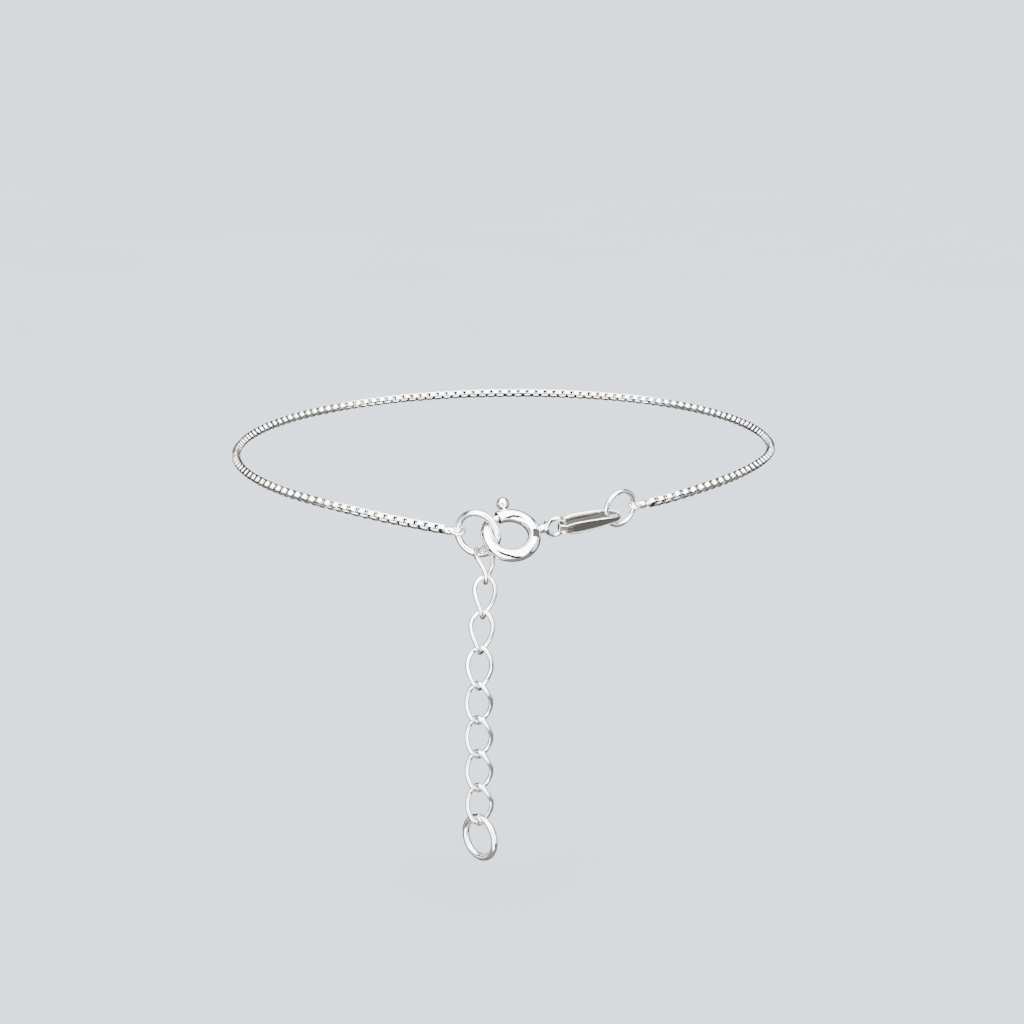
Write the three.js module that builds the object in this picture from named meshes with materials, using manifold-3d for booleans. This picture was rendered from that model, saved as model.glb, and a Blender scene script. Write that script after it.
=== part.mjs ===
// A silver chain anklet in its worn form: a fine box chain round the ankle, a spring-ring clasp with a
// folded tag at the front, and a short extender of curb links with an end ring hanging below it.
// Millimetres, +Z up. The origin is the middle of the ankle loop, and the clasp is at the front, at -Y.
import * as THREE from 'three';
import { mergeVertices } from 'three/addons/utils/BufferGeometryUtils.js';
import Module from 'manifold-3d';

const wasm = await Module();
wasm.setup();

// Box chain. The route runs from the left end of the chain round the back to its right end.
// turn is the angle round the ankle from the front in degrees, and reach is the distance from the axis.
const chainWidth = 1.0;
const chainSides = 8;
const chainSteps = 78;
const chainRoute = [
  { turn: -10.7, reach: 35.9, height: -1.35 },
  { turn: -20, reach: 35.5, height: -0.8 },
  { turn: -32, reach: 35.1, height: -0.25 },
  { turn: -55, reach: 34.8, height: 0.15 },
  { turn: -90, reach: 34.6, height: 0.3 },
  { turn: -135, reach: 34.5, height: 0.4 },
  { turn: -180, reach: 34.5, height: 0.6 },
  { turn: -225, reach: 34.5, height: 0.9 },
  { turn: -270, reach: 34.4, height: 1.1 },
  { turn: -300, reach: 34.5, height: 1.5 },
  { turn: -317, reach: 34.7, height: 1.2 },
  { turn: -330.8, reach: 35.0, height: 0.62 },
];

// Teardrop loops that close the two ends of the chain. point is the way the teardrop's tip lies.
const endLoopWire = 0.34;
const endLoopPinch = 0.5;
const leftEndLoop = {
  radius: 0.76, stretch: 1.5, point: 180, x: -5.27, y: -35.47, z: -1.45, turn: -8, rise: 70,
};
const rightEndLoop = {
  radius: 0.58, stretch: 2.1, point: 0, x: 15.35, y: -30.92, z: 0.5, turn: 26, rise: 64,
};

// Round rings. A ring faces along its normal: turn swings it to the right, rise lifts it up.
const leftJumpRing = { wire: 0.78, across: 5.8, x: -2.96, y: -36.34, z: -1.52, turn: -22, rise: -6 };
const rightJumpRing = { wire: 0.58, across: 4.72, x: 13.62, y: -32.16, z: 0.45, turn: 36, rise: -8 };

// Spring ring. Angles run anticlockwise round its centre from the eye's side, seen from the front.
const claspPlace = { x: 0.86, y: -36.95, z: -1.57, turn: 7, rise: 48 };
const claspAcross = 7.0;
const claspTube = 1.53;
const claspMouth = 118;
const claspCatch = 147;
const boreAcross = 1.1;
const boreEnd = 44;
const catchDepth = 4;
const slotWidth = 0.6;
const slotFrom = 61;
const slotTo = 103;
const boltAcross = 0.84;
const boltRear = 91;
const boltTip = 148.5;
const knobAt = 97;
const knobAcross = 1.5;
const knobReach = 4.45;
const knobPost = 0.44;

// Eye of the spring ring, soldered to its side by a short tab.
const eyeWire = 0.5;
const eyeAcross = 2.7;
const eyePlace = { x: 6.08, y: -35.3, z: -0.94, turn: 22, rise: -16 };
const eyeTab = { at: 12, from: 3.2, to: 4.25, across: 0.9 };

// Folded tag: a strip bent into a flat loop, leaf-shaped from the side, with its tips joined.
const tagLength = 7.8;
const tagGap = 1.65;
const tagSheet = 0.22;
const tagRoundness = 3.2;
const tagWaist = 0.52;
const tagHalfWidth = 0.8;
const tagTipHalfWidth = 0.1;
const tagNeckLength = 0.9;
const tagShoulderAt = 2.2;
const tagTaperFrom = 4.6;
const tagTipBlend = 0.9;
const tagTipFullness = 0.55;
const tagPlace = { x: 10.0, y: -33.95, z: -0.6, turn: 19.5, climb: 6.5, roll: 21 };

// Extender: curb links, each twisted between its ends, down to the end ring.
// lean tips a link outwards from hanging straight, side tips it to the left, spin turns it round.
const linkWire = 0.52;
const linkLength = 5.24;
const linkWidth = 3.3;
const linkTwist = 90;
const linkSpacing = 4.1;
const extenderTop = { x: -2.28, y: -36.0, z: -3.4 };
const extenderLinks = [
  { lean: 45, side: -4, spin: -57 },
  { lean: 27, side: 5, spin: -40 },
  { lean: 27, side: 4, spin: -32 },
  { lean: 17, side: 2, spin: -15 },
  { lean: 0, side: 0, spin: 0 },
  { lean: 0, side: 0, spin: 0 },
  { lean: 0, side: 0, spin: 0 },
  { lean: 0, side: -1, spin: 0 },
];
const endRing = { wire: 0.8, across: 5.6, turn: -46, rise: 0 };

// Facets: sides round a wire, steps along a loop of it, and the fineness of the clasp's curves.
const wireSides = 8;
const ringSteps = 32;
const linkSteps = 24;
const claspSides = 12;
const degreesPerStep = 7.5;
const roundness = 24;
const weldDistance = 1e-4;
const overrun = 1;

const silver = { color: 0xd9d7d2, metalness: 1.0, roughness: 0.15 };
const chainSilver = { color: 0xd4d2cd, metalness: 1.0, roughness: 0.25 };
const clearance = 0.05;

const rad = THREE.MathUtils.degToRad;
const anklet = new THREE.Group();

function addPiece(name, geometry, finish) {
  const mesh = new THREE.Mesh(geometry, new THREE.MeshStandardMaterial(finish));
  mesh.name = name;
  anklet.add(mesh);
  return mesh;
}

// Places a piece made flat in XY so that its +Z faces out by turn and rise.
function stand(object, place) {
  object.position.set(place.x, place.y, place.z);
  object.rotation.set(rad(90 - place.rise), 0, rad(place.turn), 'ZXY');
  object.updateMatrix();
  return object;
}

function toSolid(geometry) {
  geometry.deleteAttribute('normal');
  geometry.deleteAttribute('uv');
  const merged = mergeVertices(geometry, weldDistance);
  const vertProperties = new Float32Array(merged.attributes.position.array);
  const triVerts = new Uint32Array(merged.index.array);
  return new wasm.Manifold(new wasm.Mesh({ numProp: 3, vertProperties, triVerts }));
}

function toGeometry(solid) {
  const mesh = solid.getMesh();
  const geometry = new THREE.BufferGeometry();
  geometry.setAttribute('position', new THREE.BufferAttribute(mesh.vertProperties, 3));
  geometry.setIndex(new THREE.BufferAttribute(mesh.triVerts, 1));
  geometry.computeVertexNormals();
  return geometry;
}

function disc(radius, sides) {
  const points = [];
  for (let i = 0; i < sides; i += 1) {
    const angle = ((i + 0.5) / sides) * 2 * Math.PI;
    points.push(new THREE.Vector2(radius * Math.cos(angle), radius * Math.sin(angle)));
  }
  return new THREE.Shape(points);
}

// An arc in the XY plane about the origin, between two angles in degrees.
class ArcPath extends THREE.Curve {
  constructor(radius, from, to) {
    super();
    this.radius = radius;
    this.from = rad(from);
    this.to = rad(to);
  }

  getPoint(t) {
    const angle = this.from + (this.to - this.from) * t;
    return new THREE.Vector3(this.radius * Math.cos(angle), this.radius * Math.sin(angle), 0);
  }
}

function sweep(path, section, steps) {
  return new THREE.ExtrudeGeometry(section, { extrudePath: path, steps, bevelEnabled: false });
}

function arcRod(radius, thickness, from, to, sides) {
  const steps = Math.ceil(Math.abs(to - from) / degreesPerStep);
  return toSolid(sweep(new ArcPath(radius, from, to), disc(thickness / 2, sides), steps));
}

// A closed oval of wire along Z, whose cross direction turns by twist from its bottom to its top.
class CurbLinkPath extends THREE.Curve {
  getPoint(t) {
    const angle = 2 * Math.PI * t;
    const along = ((linkLength - linkWire) / 2) * Math.sin(angle);
    const across = ((linkWidth - linkWire) / 2) * Math.cos(angle);
    const turned = rad(linkTwist) * (along / (linkLength - linkWire));
    return new THREE.Vector3(across * Math.cos(turned), -across * Math.sin(turned), along);
  }
}

// A closed teardrop of wire in XY: round towards +X, drawn out and pinched towards -X.
class TeardropPath extends THREE.Curve {
  constructor(radius, stretch) {
    super();
    this.radius = radius;
    this.stretch = stretch;
  }

  getPoint(t) {
    const angle = 2 * Math.PI * t;
    const back = Math.max(0, -Math.cos(angle));
    const x = this.radius * Math.cos(angle) * (1 + (this.stretch - 1) * back);
    const y = this.radius * Math.sin(angle) * (1 - endLoopPinch * back);
    return new THREE.Vector3(x, y, 0);
  }
}

// The chain's route, smooth in turn, reach and height, so that equal reaches give a true arc.
class AnkleRoute extends THREE.Curve {
  constructor(rows) {
    super();
    const stations = rows.map(({ turn, reach, height }) => new THREE.Vector3(turn, reach, height));
    this.stations = new THREE.CatmullRomCurve3(stations);
  }

  getPoint(t) {
    const { x: turn, y: reach, z: height } = this.stations.getPoint(t);
    return new THREE.Vector3(reach * Math.sin(rad(turn)), -reach * Math.cos(rad(turn)), height);
  }
}

function addBoxChain() {
  const section = disc(chainWidth / 2 / Math.cos(Math.PI / chainSides), chainSides);
  addPiece('box_chain', sweep(new AnkleRoute(chainRoute), section, chainSteps), chainSilver);
}

function addEndLoop(name, place) {
  const path = new TeardropPath(place.radius, place.stretch);
  const geometry = new THREE.TubeGeometry(path, linkSteps, endLoopWire / 2, wireSides, true);
  geometry.rotateZ(rad(180 - place.point));
  stand(addPiece(name, geometry, silver), place);
}

function addRing(name, ring) {
  const radius = (ring.across - ring.wire) / 2;
  const geometry = new THREE.TorusGeometry(radius, ring.wire / 2, wireSides, ringSteps);
  return stand(addPiece(name, geometry, silver), ring);
}

const clasp = new THREE.Group();
stand(clasp, claspPlace);
clasp.updateMatrixWorld();
anklet.add(clasp);
const claspRadius = (claspAcross - claspTube) / 2;

// The eye in the clasp's own frame, cut to the same solid as the tube and its tab.
function eyeRing() {
  const ring = stand(new THREE.Object3D(), eyePlace);
  const inClasp = clasp.matrixWorld.clone().invert().multiply(ring.matrix);
  const torus = new THREE.TorusGeometry((eyeAcross - eyeWire) / 2, eyeWire / 2, wireSides, roundness);
  return toSolid(torus.applyMatrix4(inClasp));
}

// A round bar along a radius of the clasp, between two distances from its centre.
function radialBar(at, from, to, across) {
  const bar = new THREE.CylinderGeometry(across / 2, across / 2, to - from, roundness / 2);
  bar.rotateZ(-Math.PI / 2);
  bar.translate((from + to) / 2, 0, 0);
  bar.rotateZ(rad(at));
  return toSolid(bar);
}

function addSpringRing() {
  const slotSection = new THREE.Shape([
    new THREE.Vector2(-slotWidth / 2, -claspTube / 2),
    new THREE.Vector2(slotWidth / 2, -claspTube / 2),
    new THREE.Vector2(slotWidth / 2, claspTube / 2),
    new THREE.Vector2(-slotWidth / 2, claspTube / 2),
  ]);
  const slotPath = new ArcPath(claspRadius + claspTube / 2, slotFrom, slotTo);
  const slotSteps = Math.ceil((slotTo - slotFrom) / degreesPerStep);
  const slot = toSolid(sweep(slotPath, slotSection, slotSteps));
  const bore = arcRod(claspRadius, boreAcross, boreEnd, claspMouth + overrun, claspSides);
  const socket = arcRod(claspRadius, boreAcross, claspCatch - overrun, claspCatch + catchDepth, claspSides);
  const tube = arcRod(claspRadius, claspTube, claspCatch, claspMouth + 360, claspSides);
  const housing = tube
    .add(radialBar(eyeTab.at, eyeTab.from, eyeTab.to, eyeTab.across))
    .add(eyeRing())
    .subtract(bore)
    .subtract(socket)
    .subtract(slot);
  const mesh = addPiece('spring_ring', toGeometry(housing), silver);
  clasp.add(mesh);
}

function addTrigger() {
  const knob = new THREE.SphereGeometry(knobAcross / 2, roundness, roundness / 2);
  knob.rotateX(Math.PI / 2);
  knob.translate(knobReach * Math.cos(rad(knobAt)), knobReach * Math.sin(rad(knobAt)), 0);
  const trigger = arcRod(claspRadius, boltAcross, boltRear, boltTip, roundness / 2)
    .add(radialBar(knobAt, claspRadius, knobReach, knobPost))
    .add(toSolid(knob));
  clasp.add(addPiece('trigger', toGeometry(trigger), silver));
}

// The outline of a rounded-off oval (a superellipse) with the given half sizes.
function flatOval(halfLength, halfGap) {
  const points = [];
  for (let i = 0; i < roundness * 2; i += 1) {
    const angle = (i / (roundness * 2)) * 2 * Math.PI;
    const c = Math.cos(angle);
    const s = Math.sin(angle);
    const x = halfLength * Math.sign(c) * Math.abs(c) ** (2 / tagRoundness);
    const y = halfGap * Math.sign(s) * Math.abs(s) ** (2 / tagRoundness);
    points.push(new THREE.Vector2(x, y));
  }
  return points;
}

// The leaf seen on the strip's face: a neck at the eye, a shoulder, and a long taper to the tips.
function leafOutline(half) {
  const end = -half - overrun;
  const neck = -half + tagNeckLength;
  const shoulder = -half + tagShoulderAt;
  const corner = (neck + shoulder) / 2;
  const taper = -half + tagTaperFrom;
  const blend = half - tagTipBlend;
  const blendWidth = tagTipFullness * tagHalfWidth;
  const tip = half + tagTipHalfWidth;
  const leaf = new THREE.Shape();
  leaf.moveTo(end, -tagWaist);
  leaf.lineTo(neck, -tagWaist);
  leaf.quadraticCurveTo(corner, -tagHalfWidth, shoulder, -tagHalfWidth);
  leaf.bezierCurveTo(taper, -tagHalfWidth, blend, -blendWidth, tip, -tagTipHalfWidth);
  leaf.lineTo(tip, tagTipHalfWidth);
  leaf.bezierCurveTo(blend, blendWidth, taper, tagHalfWidth, shoulder, tagHalfWidth);
  leaf.quadraticCurveTo(corner, tagHalfWidth, neck, tagWaist);
  leaf.lineTo(end, tagWaist);
  return leaf;
}

function addTag() {
  const half = tagLength / 2;
  const loop = new THREE.Shape(flatOval(half, tagGap / 2 + tagSheet / 2));
  loop.holes.push(new THREE.Path(flatOval(half - tagSheet, tagGap / 2 - tagSheet / 2)));
  const strip = new THREE.ExtrudeGeometry(loop, { depth: 2 * tagHalfWidth, bevelEnabled: false });
  strip.translate(0, 0, -tagHalfWidth);
  const outline = new THREE.ExtrudeGeometry(leafOutline(half), { depth: 2 * tagGap, bevelEnabled: false });
  outline.translate(0, 0, -tagGap);
  outline.rotateX(-Math.PI / 2);
  const tag = addPiece('tag', toGeometry(toSolid(strip).intersect(toSolid(outline))), silver);
  tag.position.set(tagPlace.x, tagPlace.y, tagPlace.z);
  tag.rotation.set(rad(tagPlace.roll), rad(-tagPlace.climb), rad(tagPlace.turn), 'ZYX');
}

// Links hang from one another: each starts where the one above ends.
function addExtender() {
  const hook = new THREE.Vector3(extenderTop.x, extenderTop.y, extenderTop.z);
  extenderLinks.forEach(({ lean, side, spin }, index) => {
    const down = new THREE.Vector3(-Math.sin(rad(side)), -Math.sin(rad(lean)), -Math.cos(rad(lean)));
    down.normalize();
    const geometry = new THREE.TubeGeometry(new CurbLinkPath(), linkSteps, linkWire / 2, wireSides, true);
    geometry.rotateZ(rad(-spin));
    const link = addPiece(`extender_link_${index + 1}`, geometry, silver);
    link.quaternion.setFromUnitVectors(new THREE.Vector3(0, 0, -1), down);
    link.position.copy(hook).addScaledVector(down, linkSpacing / 2);
    hook.addScaledVector(down, linkSpacing);
  });
  const hang = (endRing.across - endRing.wire) / 2 - (endRing.wire + linkWire) / 4 - clearance;
  addRing('end_ring', { ...endRing, x: hook.x, y: hook.y, z: hook.z - hang });
}

addBoxChain();
addEndLoop('chain_end_left', leftEndLoop);
addEndLoop('chain_end_right', rightEndLoop);
addRing('jump_ring_left', leftJumpRing);
addRing('jump_ring_right', rightJumpRing);
addSpringRing();
addTrigger();
addTag();
addExtender();

export default anklet;
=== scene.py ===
import bmesh
import bpy
import numpy as np
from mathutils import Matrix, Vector


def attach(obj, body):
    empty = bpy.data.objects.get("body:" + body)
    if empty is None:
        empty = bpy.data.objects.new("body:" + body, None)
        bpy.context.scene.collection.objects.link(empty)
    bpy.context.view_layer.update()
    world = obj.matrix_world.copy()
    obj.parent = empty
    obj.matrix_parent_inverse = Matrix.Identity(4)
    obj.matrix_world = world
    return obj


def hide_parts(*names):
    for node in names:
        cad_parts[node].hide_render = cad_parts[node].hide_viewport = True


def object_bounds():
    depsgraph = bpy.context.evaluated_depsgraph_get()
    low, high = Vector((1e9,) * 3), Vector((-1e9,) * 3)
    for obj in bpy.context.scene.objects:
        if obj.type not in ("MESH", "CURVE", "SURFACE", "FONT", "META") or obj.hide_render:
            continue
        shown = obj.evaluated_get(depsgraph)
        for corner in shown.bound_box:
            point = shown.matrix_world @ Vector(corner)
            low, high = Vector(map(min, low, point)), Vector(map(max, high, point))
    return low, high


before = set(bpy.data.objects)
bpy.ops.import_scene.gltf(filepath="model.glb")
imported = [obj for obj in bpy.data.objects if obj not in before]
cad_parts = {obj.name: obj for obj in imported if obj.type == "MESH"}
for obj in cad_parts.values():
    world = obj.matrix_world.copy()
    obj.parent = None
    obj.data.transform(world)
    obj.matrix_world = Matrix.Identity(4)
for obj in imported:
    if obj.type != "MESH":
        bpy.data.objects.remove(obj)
cadBox = [list(corner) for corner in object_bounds()]

mm = 0.001
mergeWithin = 0.0005 * mm  # points this close together are one point
closeWithin = 0.0001 * mm  # edges this short are closed up
jitter = np.random.default_rng(7)


def unit(vectors):
    return vectors / np.linalg.norm(vectors, axis=-1, keepdims=True)


def turnAbout(axis, degrees):
    # rotation matrix about X (0), Y (1) or Z (2)
    c, s = np.cos(np.radians(degrees)), np.sin(np.radians(degrees))
    a, b = (axis + 1) % 3, (axis + 2) % 3
    matrix = np.eye(3)
    matrix[a, a], matrix[a, b], matrix[b, a], matrix[b, b] = c, -s, s, c
    return matrix


def stand(points, place):
    # a shape made flat in XY is stood up: +Z faces out, swung right by turn and lifted by rise
    matrix = turnAbout(2, place["turn"]) @ turnAbout(0, 90 - place["rise"])
    return points @ matrix.T + np.array([place["x"], place["y"], place["z"]])


def tube(path, radius, sides):
    # Round wire bent to a closed path: each path point carries a circle in the plane across the path's
    # direction, and the circle starts on the side away from the path's middle.
    along = unit(np.roll(path, -1, 0) - np.roll(path, 1, 0))
    side = unit(path - np.sum(path * along, 1, keepdims=True) * along)
    up = np.cross(along, side)
    angle = np.linspace(0, 2 * np.pi, sides, endpoint=False)
    reach = np.broadcast_to(radius, len(path))[:, None, None]
    circle = np.cos(angle)[None, :, None] * side[:, None] + np.sin(angle)[None, :, None] * up[:, None]
    return path[:, None] + reach * circle


def gridShell(points, closedRows, keep=None):
    # quads over a grid whose columns run all the way round, and whose rows may too; keep picks the quads
    rows, columns = points.shape[:2]
    r = np.arange(rows if closedRows else rows - 1)[:, None]
    c = np.arange(columns)[None, :]
    nextR, nextC = (r + 1) % rows, (c + 1) % columns
    quads = np.stack([r * columns + c, nextR * columns + c,
                      nextR * columns + nextC, r * columns + nextC], -1)
    if keep is not None:
        quads = quads[keep]
    return points.reshape(-1, 3), quads.reshape(-1, 4)


def ringPath(radius, angle):
    # a circle in XY about the origin
    return np.stack([radius * np.cos(angle), radius * np.sin(angle), np.zeros_like(angle)], -1)


def spindle(start, end, radii, sides):
    # a turned shape about the line from start to end, with a radius at each equal step along it
    start, end, radii = np.array(start, float), np.array(end, float), np.array(radii, float)
    along = unit(end - start)
    side = unit(np.cross(along, [0.3, 0.5, 0.8]))  # any direction will do that isn't along the line
    up = np.cross(along, side)
    angle = np.linspace(0, 2 * np.pi, sides, endpoint=False)
    circle = np.cos(angle)[:, None] * side + np.sin(angle)[:, None] * up
    centres = start + np.linspace(0, 1, len(radii))[:, None] * (end - start)
    centres = np.vstack([centres[:1], centres, centres[-1:]])
    radii = np.concatenate([[0], radii, [0]])
    return centres[:, None] + radii[:, None, None] * circle[None]


def ball(centre, radii, rows, sides):
    # an ellipsoid with its poles on Z
    tilt, angle = np.meshgrid(np.linspace(0, np.pi, rows),
                              np.linspace(0, 2 * np.pi, sides, endpoint=False), indexing="ij")
    points = np.stack([np.sin(tilt) * np.cos(angle), np.sin(tilt) * np.sin(angle), np.cos(tilt)], -1)
    return np.array(centre) + points * np.array(radii)


def addPiece(name, shells, nodes, body, material, sharp=180, inner=None):
    # Joins the shells in one mesh, closes seams and poles, and turns the faces outwards. Edges that bend by
    # more than sharp degrees are creases. inner marks, from 0 to 1, the points painted with the material's
    # inner colour: painted shade and painted dark reflections.
    firsts = np.cumsum([0] + [len(shell[0]) for shell in shells])
    points = np.vstack([shell[0] for shell in shells]) * mm
    quads = np.vstack([shell[1] + first for shell, first in zip(shells, firsts)])
    mesh = bpy.data.meshes.new(name)
    mesh.from_pydata(points.tolist(), [], quads.tolist())
    # the mask goes on the mesh as a point attribute for the silver's painted shade and painted dark
    # reflections
    if inner is not None:
        mesh.attributes.new("innerFace", "FLOAT", "POINT").data.foreach_set("value", inner)
    work = bmesh.new()
    work.from_mesh(mesh)
    bmesh.ops.remove_doubles(work, verts=work.verts, dist=mergeWithin)
    bmesh.ops.dissolve_degenerate(work, edges=work.edges, dist=closeWithin)
    bmesh.ops.recalc_face_normals(work, faces=work.faces)
    work.to_mesh(mesh)
    work.free()
    mesh.shade_smooth()
    mesh.set_sharp_from_angle(angle=np.radians(sharp))
    mesh.materials.append(material)
    piece = bpy.data.objects.new(name, mesh)
    bpy.context.scene.collection.objects.link(piece)
    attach(piece, body)
    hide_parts(*nodes)
    print("made", name, len(mesh.polygons), "faces")


def toLinear(hexColour):
    # the standard sRGB curve undone, with full opacity added
    srgb = np.array([int(hexColour[i:i + 2], 16) for i in (1, 3, 5)]) / 255
    linear = np.where(srgb <= 0.04045, srgb / 12.92, ((srgb + 0.055) / 1.055) ** 2.4)
    return (*linear.tolist(), 1.0)


def addNode(tree, kind, settings=None, inputs=None, links=None):
    # links maps an input's name to the (node, output) that feeds it
    node = tree.nodes.new(kind)
    for key, value in (settings or {}).items():
        setattr(node, key, value)
    for key, value in (inputs or {}).items():
        node.inputs[key].default_value = value
    for key, (source, output) in (links or {}).items():
        tree.links.new(source.outputs[output], node.inputs[key])
    return node


silver = dict(patchDetail=2.0, markDetail=4.0, cleanUpTo=0.42, warmFrom=0.7, faintMark=0.3, plainMark=0.7)


def sterlingSilver(name, look):
    # Sterling silver is a near-white metal. Polishing leaves a mirror with faint handling marks, and air
    # leaves a thin warm tint in broad soft patches. Where a look has an inner colour, it is painted over the
    # marked points as painted shade and painted dark reflections.
    material = bpy.data.materials.new(name)
    material.use_nodes = True
    tree = material.node_tree
    tree.nodes.clear()
    place = addNode(tree, "ShaderNodeTexCoord")
    patches = addNode(tree, "ShaderNodeTexNoise",
                      inputs={"Scale": 1 / (look["patch"] * mm), "Detail": silver["patchDetail"]},
                      links={"Vector": (place, "Object")})
    marks = addNode(tree, "ShaderNodeTexNoise",
                    inputs={"Scale": 1 / (look["mark"] * mm), "Detail": silver["markDetail"]},
                    links={"Vector": (place, "Object")})
    tint = addNode(tree, "ShaderNodeValToRGB", links={"Fac": (patches, "Fac")})
    tint.color_ramp.elements[0].position = silver["cleanUpTo"]
    tint.color_ramp.elements[0].color = toLinear(look["clean"])
    tint.color_ramp.elements[1].position = silver["warmFrom"]
    tint.color_ramp.elements[1].color = toLinear(look["warm"])
    gloss = addNode(tree, "ShaderNodeMapRange",
                    inputs={"From Min": silver["faintMark"], "From Max": silver["plainMark"],
                            "To Min": look["smooth"], "To Max": look["rough"]},
                    links={"Value": (marks, "Fac")})
    dents = addNode(tree, "ShaderNodeBump",
                    inputs={"Strength": look["bump"], "Distance": look["depth"] * mm},
                    links={"Height": (marks, "Fac")})
    colour = (tint, "Color")
    # the inner colour is mixed in by the mask: painted shade and painted dark reflections
    if "inner" in look:
        paintedDarkening = addNode(tree, "ShaderNodeAttribute", {"attribute_name": "innerFace"})
        mix = addNode(tree, "ShaderNodeMix", {"data_type": "RGBA"}, {"B": toLinear(look["inner"])},
                      {"Factor": (paintedDarkening, "Fac"), "A": colour})
        colour = (mix, "Result")
    metal = addNode(tree, "ShaderNodeBsdfPrincipled", inputs={"Metallic": 1.0},
                    links={"Base Color": colour, "Roughness": (gloss, "Result"),
                           "Normal": (dents, "Normal")})
    addNode(tree, "ShaderNodeOutputMaterial", links={"Surface": (metal, "BSDF")})
    return material


def mattePaint(name, look):
    # Matte emulsion on card: no gloss, and a fine soft mottle that keeps the surface from looking empty.
    material = bpy.data.materials.new(name)
    material.use_nodes = True
    tree = material.node_tree
    tree.nodes.clear()
    place = addNode(tree, "ShaderNodeTexCoord")
    mottle = addNode(tree, "ShaderNodeTexNoise",
                     inputs={"Scale": 1 / (look["mottle"] * mm), "Detail": look["detail"]},
                     links={"Vector": (place, "Object")})
    shade = addNode(tree, "ShaderNodeValToRGB", links={"Fac": (mottle, "Fac")})
    shade.color_ramp.elements[0].color = toLinear(look["dark"])
    shade.color_ramp.elements[1].color = toLinear(look["light"])
    paint = addNode(tree, "ShaderNodeBsdfPrincipled",
                    inputs={"Roughness": look["rough"], "Specular IOR Level": look["sheen"]},
                    links={"Base Color": (shade, "Color")})
    addNode(tree, "ShaderNodeOutputMaterial", links={"Surface": (paint, "BSDF")})
    return material


# Hex colours are sRGB. patch and mark are millimetres across, and depth is the height of a mark. inner is
# a painted dark colour: painted shade, with a little tarnish, in the chain's link holes, and a painted dark
# reflection on the clasp's flat and on the tag's front leaf.
finishes = {
    "wire": dict(clean="#f4f3f0", warm="#e9e2d6", patch=3.0, mark=0.35, smooth=0.03, rough=0.09,
                 bump=0.25, depth=0.006),
    "clasp": dict(clean="#f5f4f2", warm="#ece6dc", patch=4.0, mark=0.5, smooth=0.02, rough=0.06,
                  bump=0.15, depth=0.008, inner="#232221"),
    "links": dict(clean="#f2f1ee", warm="#e2dacb", patch=8.0, mark=0.3, smooth=0.07, rough=0.16,
                  bump=0.3, depth=0.008, inner="#161514"),
    "leaf": dict(clean="#eceae6", warm="#dcd5c8", patch=2.0, mark=0.25, smooth=0.14, rough=0.24,
                 bump=0.3, depth=0.006, inner="#a09d98"),
}
polishedWire = sterlingSilver("sterling silver, polished wire", finishes["wire"])
polishedClasp = sterlingSilver("sterling silver, polished clasp", finishes["clasp"])
rolledStrip = sterlingSilver("sterling silver, rolled strip links", finishes["links"])
burnishedSheet = sterlingSilver("sterling silver, burnished sheet", finishes["leaf"])


boxChain = dict(
    side=1.0, strip=0.54, sheet=0.2, spacing=0.65, slack=0.05, corner=0.3, wobble=2.5,
    samples=4000, crease=50,
    route=np.array([  # turn round the ankle, reach from its axis, height
        [-10.7, 35.9, -1.35], [-20, 35.5, -0.8], [-32, 35.1, -0.25], [-55, 34.8, 0.15],
        [-90, 34.6, 0.3], [-135, 34.5, 0.4], [-180, 34.5, 0.6], [-225, 34.5, 0.9],
        [-270, 34.4, 1.1], [-300, 34.5, 1.5], [-317, 34.7, 1.2], [-330.8, 35.0, 0.62]]),
    roll=np.array([  # turn round the ankle, roll of the chain about its own line
        [-10, -52], [-40, -45], [-270, -46], [-310, -52], [-331, -56]]),
)


def smoothTable(at, stations, values):
    # cubic through the stations, with each station's slope set by its two neighbours
    slopes = np.gradient(values, stations)
    i = np.clip(np.searchsorted(stations, at) - 1, 0, len(stations) - 2)
    gap = stations[i + 1] - stations[i]
    t = (at - stations[i]) / gap
    start, end = (1 + 2 * t) * (1 - t) ** 2 * values[i], t * t * (3 - 2 * t) * values[i + 1]
    return start + end + gap * (t * (1 - t) ** 2 * slopes[i] - t * t * (1 - t) * slopes[i + 1])


def chainLine(samples):
    # the route from its left end round the back to its right end, with turn as the free parameter
    route = boxChain["route"][::-1]
    turn = np.linspace(route[-1, 0], route[0, 0], samples)
    reach = smoothTable(turn, route[:, 0], route[:, 1])
    height = smoothTable(turn, route[:, 0], route[:, 2])
    angle = np.radians(turn)
    return turn, np.stack([reach * np.sin(angle), -reach * np.cos(angle), height], -1)


def roundedFrame(halfLength, halfSide, corner):
    # a rectangle with three points round each corner
    angle = np.radians(np.array([0, 45, 90]))
    quarter = np.stack([np.cos(angle), np.sin(angle)], -1) * corner
    middle = np.array([halfLength - corner, halfSide - corner])
    first = middle + quarter
    second = (first * [-1, 1])[::-1]
    return np.vstack([first, second, -first, -second])


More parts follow.
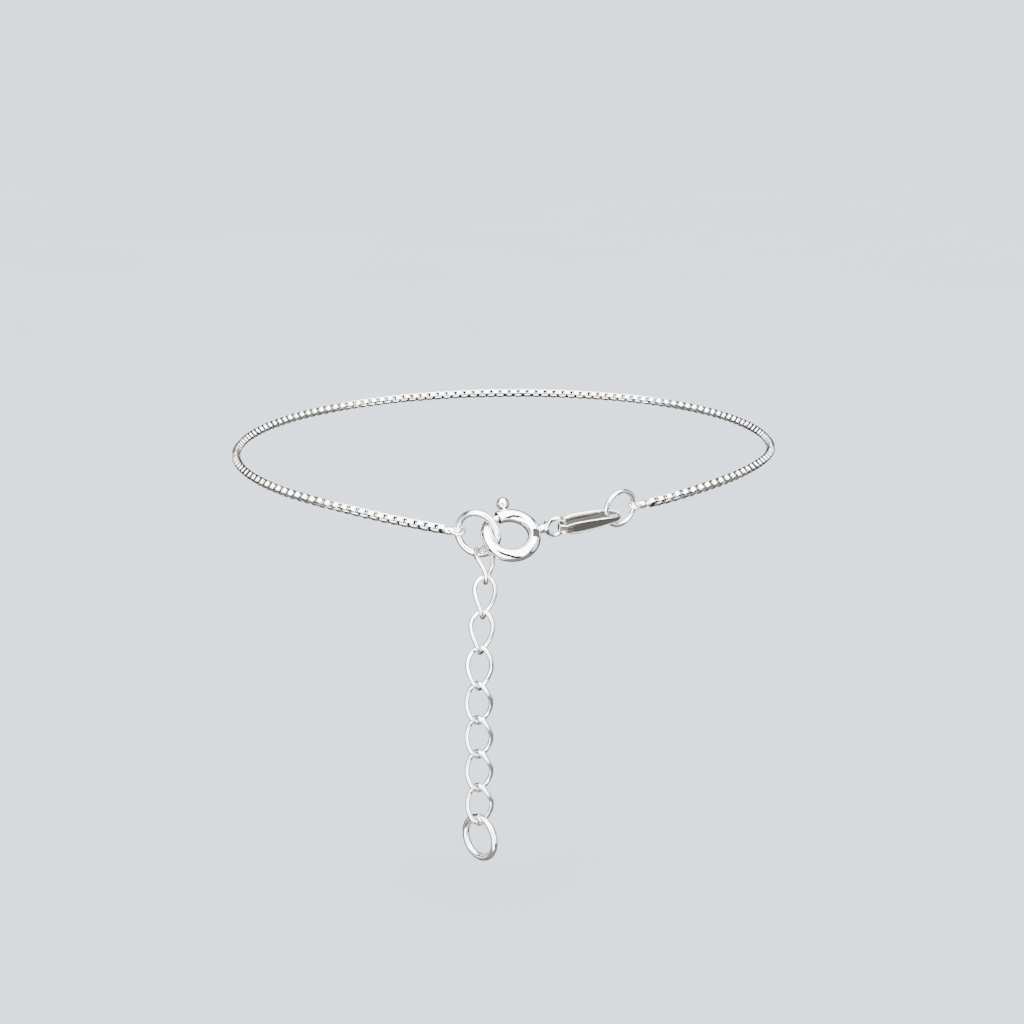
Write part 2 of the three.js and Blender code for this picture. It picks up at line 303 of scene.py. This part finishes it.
def makeBoxChain(chain):
    # Each link is a strip bent to a square frame. Every other link is turned a quarter round the chain,
    # and each end bar passes through the frame of the next link.
    turn, line = chainLine(chain["samples"])
    length = np.concatenate([[0], np.cumsum(np.linalg.norm(np.diff(line, axis=0), axis=1))])
    linkLength = chain["spacing"] + 2 * chain["sheet"] + chain["slack"]
    count = int(round((length[-1] - linkLength) / chain["spacing"])) + 1
    at = np.linspace(linkLength / 2, length[-1] - linkLength / 2, count)
    centre = np.stack([np.interp(at, length, line[:, k]) for k in range(3)], -1)
    along = unit(np.stack([np.interp(at, length, np.gradient(line[:, k])) for k in range(3)], -1))
    outward = centre * [1, 1, 0]
    outward = unit(outward - np.sum(outward * along, 1, keepdims=True) * along)
    up = np.cross(outward, along)
    rolls = chain["roll"][::-1]
    roll = np.interp(np.interp(at, length, turn), rolls[:, 0], rolls[:, 1])
    roll = roll + 90 * (np.arange(count) % 2) + jitter.normal(0, chain["wobble"], count)
    roll = np.radians(roll)[:, None]
    across = np.cos(roll) * outward + np.sin(roll) * up
    through = -np.sin(roll) * outward + np.cos(roll) * up
    outer = roundedFrame(linkLength / 2, chain["side"] / 2, chain["corner"])
    inner = roundedFrame(linkLength / 2 - chain["sheet"], chain["side"] / 2 - chain["sheet"],
                         chain["corner"] - chain["sheet"])
    edge = chain["strip"] / 2
    section = [(outer, edge), (outer, -edge), (inner, -edge), (inner, edge)]
    frameXY = np.stack([points for points, z in section], 1)
    frameZ = np.array([z for points, z in section])
    local = frameXY[None, ..., :1] * along[:, None, None] + frameXY[None, ..., 1:] * across[:, None, None]
    local = local + frameZ[None, None, :, None] * through[:, None, None]
    points = centre[:, None, None] + local
    perLink = points.shape[1] * points.shape[2]
    quads = gridShell(points[0], True)[1]
    quads = (quads[None] + perLink * np.arange(count)[:, None, None]).reshape(-1, 4)
    # the frames' inner faces get the near-black inner colour: painted shade in the chain's holes, with a
    # little tarnish
    inside = np.broadcast_to([0.0, 0.0, 1.0, 1.0], points.shape[:3]).ravel()
    print("box chain of", count, "links,", round(float(length[-1]), 1), "mm long")
    addPiece("boxChainLinks", [(points.reshape(-1, 3), quads)], ["box_chain"], "anklet",
             rolledStrip, sharp=chain["crease"], inner=inside)


makeBoxChain(boxChain)


# End loops, each drawn out to a point that is soldered to the chain.
endLoops = {
    "chain_end_left": dict(x=-5.27, y=-35.47, z=-1.45, turn=-8, rise=70, radius=0.76, stretch=1.5, point=180,
                           solder=[-1.05, 0.6]),
    "chain_end_right": dict(x=15.35, y=-30.92, z=0.5, turn=26, rise=64, radius=0.58, stretch=2.1, point=0,
                            solder=[-1.05, 0.6]),
}
endLoopWire = dict(wire=0.34, pinch=0.5, steps=96, sides=16)
solderBead = dict(shape=[1.3, 0.8, 0.8], rows=17, sides=24)


def makeEndLoop(node, place):
    # the wire's angle runs once round: the side away from the ring is stretched out and pinched in
    angle = np.linspace(0, 2 * np.pi, endLoopWire["steps"], endpoint=False)
    back = np.maximum(0, -np.cos(angle))
    path = ringPath(place["radius"], angle)
    path[:, 0] *= 1 + (place["stretch"] - 1) * back
    path[:, 1] *= 1 - endLoopWire["pinch"] * back
    wire = tube(path, endLoopWire["wire"] / 2, endLoopWire["sides"])
    at, size = place["solder"]
    solder = ball([at, 0, 0], size * np.array(solderBead["shape"]), solderBead["rows"], solderBead["sides"])
    flip = turnAbout(2, 180 - place["point"])
    shells = [gridShell(stand(wire @ flip.T, place), True), gridShell(stand(solder @ flip.T, place), False)]
    addPiece(node.replace("chain_end_", "chainEndLoop."), shells, [node], "anklet",
             polishedWire)


for node, place in endLoops.items():
    makeEndLoop(node, place)


# Round rings, each bent from wire with a fine butt joint. joint is the joint's angle round the ring.
rings = {
    "jump_ring_left": dict(x=-2.96, y=-36.34, z=-1.52, turn=-22, rise=-6, wire=0.78, across=5.8, joint=-38),
    "jump_ring_right": dict(x=13.62, y=-32.16, z=0.45, turn=36, rise=-8, wire=0.58, across=4.72, joint=200),
}
endRing = dict(turn=-46, rise=0, wire=0.8, across=5.6, joint=90)
ringMake = dict(steps=180, sides=28, grooveWidth=0.035, grooveDepth=0.12, nearSteps=9, nearWidths=3)


def ringShell(ring):
    # a torus whose wire dips in a thin groove where its two ends butt together
    radius = (ring["across"] - ring["wire"]) / 2
    close = ringMake["nearWidths"] * ringMake["grooveWidth"] / radius
    near = np.linspace(-close, close, ringMake["nearSteps"])
    far = np.linspace(close, 2 * np.pi - close, ringMake["steps"])[1:-1]
    offset = np.concatenate([near, far])
    fromJoint = np.minimum(np.abs(offset), 2 * np.pi - offset) * radius
    groove = ringMake["grooveDepth"] * np.exp(-((fromJoint / ringMake["grooveWidth"]) ** 2))
    path = ringPath(radius, offset + np.radians(ring["joint"]))
    wire = tube(path, ring["wire"] / 2 * (1 - groove), ringMake["sides"])
    return gridShell(stand(wire, ring), True)


addPiece("jumpRingLeft", [ringShell(rings["jump_ring_left"])], ["jump_ring_left"], "anklet",
         polishedWire)
addPiece("jumpRingRight", [ringShell(rings["jump_ring_right"])], ["jump_ring_right"], "anklet",
         polishedWire)


# Spring ring: a hollow tube with a slot, its eye soldered on, and the trigger that slides in it. Places
# along the tube are degrees round the ring.
clasp = dict(
    x=0.86, y=-36.95, z=-1.57, turn=7, rise=48, across=7.0, tube=1.53, mouth=118, catch=147,
    bore=1.1, boreEnd=44, catchDepth=4, lip=0.08, lipRows=6, slot=0.6, slotFrom=61, slotTo=103,
    slotColumns=8, wallColumns=56, slotRows=28, longRows=260, shortRows=14,
    padFrom=345, padTo=367, padTilt=78, padDepth=0.13, padWidest=0.5, crease=35,
)
claspEye = dict(x=6.08, y=-35.3, z=-0.94, turn=22, rise=-16, wire=0.5, across=2.7, joint=20)
claspTab = dict(at=12, start=3.15, end=4.32, radius=0.52, flare=0.7, flarePower=4, steps=21, sides=32)
trigger = dict(
    thick=0.84, rear=91, tip=148.5, boltRows=60, domeRows=9, boltSides=32,
    knobAt=97, knob=1.5, knobReach=4.45, knobRows=33, knobSides=48,
    post=0.44, postFlare=0.5, flarePower=6, postSteps=21, postSides=28,
)
claspRadius = (clasp["across"] - clasp["tube"]) / 2


def onClasp(angle, sideAngle, reach):
    # a point of the ring's tube: angle round the ring, angle round the tube, distance from its centre line
    out = claspRadius + reach * np.cos(sideAngle)
    return np.stack([out * np.cos(angle), out * np.sin(angle), reach * np.sin(sideAngle)], -1)


def pressedPad(angle, sideAngle, reach):
    # The small flat beside the tab: the tube's wall is cut back to a plane across its tilt. Gives the
    # new distances from the centre line and 1 where the wall is cut back; these points get the clasp's
    # near-black inner colour as a painted dark reflection.
    rise = np.clip(np.minimum(angle - clasp["padFrom"], clasp["padTo"] - angle), 0, 1)
    facing = np.cos(sideAngle - np.radians(clasp["padTilt"]))
    plane = (clasp["tube"] / 2 - clasp["padDepth"]) / np.maximum(facing, clasp["padWidest"])
    padPaintedDark = (rise > 0) & (plane < reach) & (reach > clasp["bore"] / 2)
    return np.where(padPaintedDark, reach + rise * (plane - reach), reach), padPaintedDark.astype(float)


def claspHousing():
    # One skin: up the catch's socket, along the outside, over the mouth's lip and back down the bore.
    # The slot is left out of the outside and the bore, and walls join their edges.
    outside, inside = clasp["tube"] / 2, clasp["bore"] / 2
    mouth, slotFrom = clasp["mouth"] + 360, clasp["slotFrom"] + 360
    slotTo, boreEnd = clasp["slotTo"] + 360, clasp["boreEnd"] + 360
    catch, lipTurn = clasp["catch"], np.degrees(clasp["lip"] / claspRadius)
    curl = np.linspace(0, np.pi / 2, clasp["lipRows"])
    lipAngle = lipTurn * (1 - np.cos(curl))
    lipReach = outside - clasp["lip"] * (1 - np.sin(curl))
    slotRun = np.linspace(slotFrom, slotTo, clasp["slotRows"])
    stretches = [  # angle round the ring, distance from the tube's centre line
        ([catch + clasp["catchDepth"]] * 2, [0, inside]),
        ([catch], inside),
        (catch + lipAngle, lipReach),
        (np.linspace(catch + lipTurn, slotFrom, clasp["longRows"])[1:-1], outside),
        (slotRun, outside),
        (np.linspace(slotTo, mouth - lipTurn, clasp["shortRows"])[1:-1], outside),
        ((mouth - lipAngle)[::-1], lipReach[::-1]),
        (np.linspace(mouth, slotTo, clasp["shortRows"])[:-1], inside),
        (slotRun[::-1], inside),
        (np.linspace(slotFrom, boreEnd, clasp["shortRows"])[1:], inside),
        ([boreEnd], 0),
    ]
    starts = np.cumsum([0] + [len(angles) for angles, reaches in stretches])
    outerSlot, boreStart, boreSlot = starts[4], starts[7], starts[8]
    angle = np.radians(np.concatenate([angles for angles, reaches in stretches]))
    reach = np.concatenate([np.broadcast_to(reaches, len(angles)) for angles, reaches in stretches])
    columns = clasp["slotColumns"] + clasp["wallColumns"]
    skin = np.where(np.arange(len(angle)) < boreStart, outside, inside)
    edge = np.arcsin(clasp["slot"] / 2 / skin)[:, None]
    across = np.linspace(-1, 1, clasp["slotColumns"] + 1)[None]
    behind = np.linspace(0, 1, clasp["wallColumns"] + 1)[None, 1:-1]
    sideAngle = np.hstack([edge * across, edge + (2 * np.pi - 2 * edge) * behind])
    # the flat's points are also marked for the painted dark reflection
    reach, padPaintedDark = pressedPad(np.degrees(angle)[:, None], sideAngle, reach[:, None])
    points = onClasp(angle[:, None], sideAngle, reach)
    keep = np.ones((len(angle) - 1, columns), bool)
    for start in (outerSlot, boreSlot):
        keep[start:start + clasp["slotRows"] - 1, :clasp["slotColumns"]] = False
    shell, quads = gridShell(points, False, keep)
    outerRows = outerSlot + np.arange(clasp["slotRows"])
    boreRows = boreSlot + np.arange(clasp["slotRows"])[::-1]
    walls = [quads]
    for column in (0, clasp["slotColumns"]):
        outerEdge, boreEdge = outerRows * columns + column, boreRows * columns + column
        walls.append(np.stack([outerEdge[:-1], outerEdge[1:], boreEdge[1:], boreEdge[:-1]], -1))
    slotColumns = np.arange(clasp["slotColumns"])
    for end in (0, -1):
        outerEdge, boreEdge = outerRows[end] * columns + slotColumns, boreRows[end] * columns + slotColumns
        walls.append(np.stack([outerEdge, outerEdge + 1, boreEdge + 1, boreEdge], -1))
    return (stand(shell, clasp), np.vstack(walls)), padPaintedDark.ravel()


def spokeOnClasp(at):
    # the direction from the ring's middle out to a place on it
    return np.array([np.cos(np.radians(at)), np.sin(np.radians(at)), 0])


def makeSpringRing():
    # the tab flares where the solder runs out on the tube and the eye
    spoke, run = spokeOnClasp(claspTab["at"]), np.linspace(-1, 1, claspTab["steps"])
    radii = claspTab["radius"] * (1 + claspTab["flare"] * run ** claspTab["flarePower"])
    tab = spindle(spoke * claspTab["start"], spoke * claspTab["end"], radii, claspTab["sides"])
    housing, padPaintedDark = claspHousing()
    shells = [housing, gridShell(stand(tab, clasp), False), ringShell(claspEye)]
    # the flat carries the painted dark reflection; the tab and the eye carry none
    paintedDarkening = np.pad(padPaintedDark, (0, sum(len(points) for points, quads in shells[1:])))
    addPiece("springRing", shells, ["spring_ring"], "anklet", polishedClasp,
             sharp=clasp["crease"], inner=paintedDarkening)


def makeTrigger():
    # a round bolt along the tube's centre line with domed ends, and a ball knob on a flared post
    half = trigger["thick"] / 2
    dome = np.linspace(0, np.pi / 2, trigger["domeRows"])
    domeTurn = np.degrees(half / claspRadius)
    lead, thick = domeTurn * (1 - np.cos(dome)), half * np.sin(dome)
    middle = np.linspace(trigger["rear"] + domeTurn, trigger["tip"] - domeTurn, trigger["boltRows"])[1:-1]
    angle = np.concatenate([trigger["rear"] + lead, middle, (trigger["tip"] - lead)[::-1]])
    reach = np.concatenate([thick, np.full(len(middle), half), thick[::-1]])
    sideAngle = np.linspace(0, 2 * np.pi, trigger["boltSides"], endpoint=False)
    bolt = onClasp(np.radians(angle)[:, None], sideAngle[None], reach[:, None])
    spoke, run = spokeOnClasp(trigger["knobAt"]), np.linspace(-1, 1, trigger["postSteps"])
    knobMiddle = spoke * trigger["knobReach"]
    radii = trigger["post"] / 2 * (1 + trigger["postFlare"] * np.maximum(run, 0) ** trigger["flarePower"])
    post = spindle(spoke * claspRadius, knobMiddle, radii, trigger["postSides"])
    knob = ball(knobMiddle, [trigger["knob"] / 2] * 3, trigger["knobRows"], trigger["knobSides"])
    shells = [gridShell(stand(part, clasp), False) for part in (bolt, post, knob)]
    addPiece("clasp_trigger", shells, ["trigger"], "trigger", polishedClasp)


makeSpringRing()
makeTrigger()


# Tag: a leaf-shaped strip folded round the eye, with its two tips meeting at the right ring.
tag = dict(
    x=10.0, y=-33.95, z=-0.6, turn=19.5, climb=6.5, roll=21, length=7.8, gap=1.65, sheet=0.22,
    roundness=3.2, waist=0.52, halfWidth=0.8, tipHalfWidth=0.1, neck=0.9, shoulder=2.2, taper=4.6,
    tipBlend=0.9, tipFullness=0.55, outlineSteps=200, edgeRoundness=5, faceRoundness=3,
    dish=0.16, bead=0.8, rimPower=6, paintedReflectionFrom=0.9, paintedReflectionOpens=2.2, paintedReflectionAcross=0.84, paintedReflectionPoint=0.5,
    frontFacing=0.9, paintedReflectionEdge=0.1, steps=320, sides=48,
)


def leafHalfWidth(along):
    # a neck, a rounded shoulder, then a cubic taper to the tips, over the distance from the folded end
    t = np.linspace(0, 1, tag["outlineSteps"])
    u = 1 - t
    neck, shoulder, taper = tag["neck"], tag["shoulder"], tag["taper"]
    blend = tag["length"] - tag["tipBlend"]
    shoulderX = u ** 2 * neck + t * u * (neck + shoulder) + t ** 2 * shoulder
    shoulderW = u ** 2 * tag["waist"] + (2 * t * u + t ** 2) * tag["halfWidth"]
    tip = tag["length"] + tag["tipHalfWidth"]
    taperX = u ** 3 * shoulder + 3 * t * u ** 2 * taper + 3 * t ** 2 * u * blend + t ** 3 * tip
    taperW = (u ** 3 + 3 * t * u ** 2 + 3 * t ** 2 * u * tag["tipFullness"]) * tag["halfWidth"]
    taperW = taperW + t ** 3 * tag["tipHalfWidth"]
    return np.interp(along, np.concatenate([[-1], shoulderX, taperX[1:]]),
                     np.concatenate([[tag["waist"]], shoulderW, taperW[1:]]))


def power(value, exponent):
    # a power that keeps the sign, for superellipses
    return np.sign(value) * np.abs(value) ** exponent


def makeTag():
    # The strip's centre line is a superellipse. Its cross-section is a flat rounded rectangle as wide as
    # the leaf there, dished and beaded so that the rim stands out from the middle of each leaf.
    half = (tag["length"] - tag["sheet"]) / 2
    angle = np.linspace(0, 2 * np.pi, tag["steps"], endpoint=False)
    line = np.stack([half * power(np.cos(angle), 2 / tag["roundness"]),
                     tag["gap"] / 2 * power(np.sin(angle), 2 / tag["roundness"])], -1)
    gaps = np.linalg.norm(np.diff(line, axis=0, append=line[:1]), axis=1)
    run = np.concatenate([[0], np.cumsum(gaps)])
    even = np.linspace(0, run[-1], tag["steps"], endpoint=False)
    line = np.stack([np.interp(even, run, np.append(line[:, k], line[0, k])) for k in range(2)], -1)
    along = unit(np.roll(line, -2, 0) - np.roll(line, 2, 0))  # over two steps each way, which evens it out
    out = np.stack([along[:, 1], -along[:, 0]], -1)
    width = leafHalfWidth(line[:, 0] + tag["length"] / 2)
    section = np.linspace(0, 2 * np.pi, tag["sides"], endpoint=False)
    across = power(np.cos(section), 2 / tag["edgeRoundness"])
    thick = power(np.sin(section), 2 / tag["faceRoundness"]) * tag["sheet"] / 2
    thick = thick * (1 + tag["bead"] * np.abs(across) ** tag["rimPower"])
    flat = np.abs(out[:, 1]) ** tag["rimPower"] * np.minimum(1, width / tag["halfWidth"])
    lift = thick[None] + tag["dish"] * (flat[:, None] * (across[None] ** 2 - 0.5))
    points = np.empty((tag["steps"], tag["sides"], 3))
    points[..., 0] = line[:, :1] + out[:, :1] * lift
    points[..., 1] = line[:, 1:] + out[:, 1:] * lift
    points[..., 2] = width[:, None] * across[None]
    turned = turnAbout(2, tag["turn"]) @ turnAbout(1, -tag["climb"]) @ turnAbout(0, tag["roll"])
    points = points @ turned.T + np.array([tag["x"], tag["y"], tag["z"]])
    # a lens-shaped patch on the front leaf's face gets the leaf's inner colour: a painted dark reflection
    paintedReflectionWidth = np.clip((line[:, 0] + tag["length"] / 2 - tag["paintedReflectionFrom"]) / tag["paintedReflectionOpens"], 0, 1)
    paintedReflectionWidth = paintedReflectionWidth ** tag["paintedReflectionPoint"] * (out[:, 1] < -tag["frontFacing"]) * tag["paintedReflectionAcross"]
    paintedReflection = (np.sin(section) > tag["paintedReflectionEdge"])[None] & (np.abs(across)[None] < paintedReflectionWidth[:, None])
    addPiece("foldedTag", [gridShell(points, True)], ["tag"], "anklet", burnishedSheet,
             inner=paintedReflection.astype(float).ravel())


makeTag()


# Extender: curb links that hang from one another, and the end ring.
extender = dict(
    wire=0.52, length=5.24, width=3.3, twist=90, spacing=4.1, top=[-2.28, -36.0, -3.4], steps=140, sides=22,
    links=[  # lean outwards, side to the left, spin about its own length
        [45, -4, -57], [27, 5, -40], [27, 4, -32], [17, 2, -15],
        [0, 0, 0], [0, 0, 0], [0, 0, 0], [0, -1, 0]],
    ringGap=0.05,
)


def curbPath(spin):
    # a closed oval along Z whose cross direction turns steadily from its bottom to its top
    angle = np.linspace(0, 2 * np.pi, extender["steps"], endpoint=False)
    along = (extender["length"] - extender["wire"]) / 2 * np.sin(angle)
    across = (extender["width"] - extender["wire"]) / 2 * np.cos(angle)
    turned = np.radians(extender["twist"]) * along / (extender["length"] - extender["wire"])
    path = np.stack([across * np.cos(turned), -across * np.sin(turned), along], -1)
    return path @ turnAbout(2, -spin).T


def swingDown(down):
    # the shortest turn that takes straight down to the link's own direction
    start = np.array([0, 0, -1.0])
    axis = np.cross(start, down)
    skew = np.array([[0, -axis[2], axis[1]], [axis[2], 0, -axis[0]], [-axis[1], axis[0], 0]])
    return np.eye(3) + skew + skew @ skew / (1 + start @ down)


def makeExtender():
    hook = np.array(extender["top"])
    for number, (lean, side, spin) in enumerate(extender["links"], 1):
        leanAngle, sideAngle = np.radians(lean), np.radians(side)
        down = unit(np.array([-np.sin(sideAngle), -np.sin(leanAngle), -np.cos(leanAngle)]))
        path = curbPath(spin)
        wire = tube(path, extender["wire"] / 2, extender["sides"])
        points = wire @ swingDown(down).T + hook + down * extender["spacing"] / 2
        addPiece(f"extenderLink.{number}", [gridShell(points, True)], [f"extender_link_{number}"], "anklet",
                 polishedWire)
        hook = hook + down * extender["spacing"]
    hang = ((endRing["across"] - endRing["wire"]) / 2 - (endRing["wire"] + extender["wire"]) / 4
            - extender["ringGap"])
    placed = {**endRing, "x": hook[0], "y": hook[1], "z": hook[2] - hang}
    addPiece("endRing", [ringShell(placed)], ["end_ring"], "anklet", polishedWire)


makeExtender()


# Floor, camera and light.
stage = dict(
    drop=5.0, half=4000.0,
    paint=dict(dark="#8b9196", light="#91979c", mottle=60.0, detail=3.0, rough=0.9, sheen=0.2),
    cameraAt=[1.0, -300.0, 68.5], pitch=14.35, lens=83.2, sensor=36.0, clip=[0.005, 50],
    softboxes=[  # place, width, height, watts, aimed at the clasp
        ([-260, -330, 420], 360, 300, 1.0), ([330, -120, 300], 160, 360, 0.4),
        ([0, 260, 380], 500, 160, 0.5)],
    aim=[0, -30, -5], lightColour="#f6f8fb",
    ripple=0.16, rippleScale=2.2, rippleDetail=1.0, tentBack=0.12,
    tent=[  # direction of a round patch of the tent, its half angle, its soft edge, its brightness
        ([0, -1, 0.3], 118, 5, 0.4), ([0, -1, 0.15], 54, 8, 13.0), ([0, -0.5, 1], 50, 8, 13.0),
        ([1, 0, 0], 30, 3, 0.08), ([1, 0, 0], 20, 4, 2.0),
        ([-1, 0, 0], 30, 3, 0.08), ([-1, 0, 0], 20, 4, 2.0),
        ([0.47, -0.38, -0.8], 30, 10, 0.4),
        ([-0.42, -1, 0.8], 13, 2, 0.02), ([-0.28, -1, 0.5], 14, 2, 0.02), ([-0.12, -1, 0.24], 15, 2, 0.02),
        ([0.06, -1, 0], 15, 2, 0.02), ([0.26, -1, -0.26], 14, 2, 0.02), ([0.5, -1, -0.6], 13, 2, 0.02),
    ],
)


def makeFloor():
    half, height = stage["half"] * mm, cadBox[0][2] - stage["drop"] * mm
    corners = [[x, y, height] for x, y in [(-half, -half), (half, -half), (half, half), (-half, half)]]
    mesh = bpy.data.meshes.new("paleFloor")
    mesh.from_pydata(corners, [], [[0, 1, 2, 3]])
    mesh.materials.append(mattePaint("matte emulsion, pale grey", stage["paint"]))
    floor = bpy.data.objects.new("paleFloor", mesh)
    bpy.context.scene.collection.objects.link(floor)
    floor.visible_glossy = False  # the silver mirrors the tent and not the floor


def lookAlong(place, target):
    # Euler angles that point an object's -Z from place to target with its +Y up
    return (Vector(target) - Vector(place)).to_track_quat("-Z", "Y").to_euler()


def makeCamera():
    lens = bpy.data.cameras.new("camera")
    lens.lens, lens.sensor_width = stage["lens"], stage["sensor"]
    lens.clip_start, lens.clip_end = stage["clip"]
    camera = bpy.data.objects.new("camera", lens)
    camera.location = np.array(stage["cameraAt"]) * mm
    camera.rotation_euler = np.radians([90 - stage["pitch"], 0, 0])
    bpy.context.scene.collection.objects.link(camera)
    bpy.context.scene.camera = camera


def makeLights():
    for number, (place, width, height, watts) in enumerate(stage["softboxes"]):
        light = bpy.data.lights.new(f"softbox.{number}", "AREA")
        light.shape = "RECTANGLE"
        light.size, light.size_y, light.energy = width * mm, height * mm, watts
        softbox = bpy.data.objects.new(f"softbox.{number}", light)
        softbox.location = np.array(place) * mm
        softbox.rotation_euler = lookAlong(place, stage["aim"])
        bpy.context.scene.collection.objects.link(softbox)


def makeTent():
    # A white tent that is bright in front and overhead, built up as round soft-edged patches laid over one
    # another. The silver gets its dark edges from the tent's dark back and the slits from its small patches.
    world = bpy.data.worlds.new("tent")
    bpy.context.scene.world = world
    world.use_nodes = True
    tree = world.node_tree
    tree.nodes.clear()
    place = addNode(tree, "ShaderNodeTexCoord")
    ripple = addNode(tree, "ShaderNodeTexNoise",
                     inputs={"Scale": stage["rippleScale"], "Detail": stage["rippleDetail"]},
                     links={"Vector": (place, "Generated")})
    centred = addNode(tree, "ShaderNodeVectorMath", {"operation": "SUBTRACT"},
                      inputs={1: (0.5, 0.5, 0.5)}, links={0: (ripple, "Color")})
    bent = addNode(tree, "ShaderNodeVectorMath", {"operation": "MULTIPLY_ADD"}, {1: (stage["ripple"],) * 3},
                   {0: (centred, "Vector"), 2: (place, "Generated")})
    brightness = addNode(tree, "ShaderNodeValue")
    brightness.outputs[0].default_value = stage["tentBack"]
    for direction, halfAngle, softness, value in stage["tent"]:
        outer, inner = np.cos(np.radians([halfAngle + softness, halfAngle - softness])).tolist()
        cosine = addNode(tree, "ShaderNodeVectorMath", {"operation": "DOT_PRODUCT"},
                         {1: unit(np.array(direction)).tolist()}, {0: (bent, "Vector")})
        inside = addNode(tree, "ShaderNodeMapRange", {"interpolation_type": "SMOOTHSTEP"},
                         {"From Min": outer, "From Max": inner}, {"Value": (cosine, "Value")})
        brightness = addNode(tree, "ShaderNodeMix", inputs={"B": value},
                             links={"Factor": (inside, "Result"), "A": (brightness, 0)})
    tent = addNode(tree, "ShaderNodeBackground", inputs={"Color": toLinear(stage["lightColour"])},
                   links={"Strength": (brightness, 0)})
    addNode(tree, "ShaderNodeOutputWorld", links={"Surface": (tent, "Background")})


makeFloor()
makeCamera()
makeLights()
makeTent()
print("stage ready")
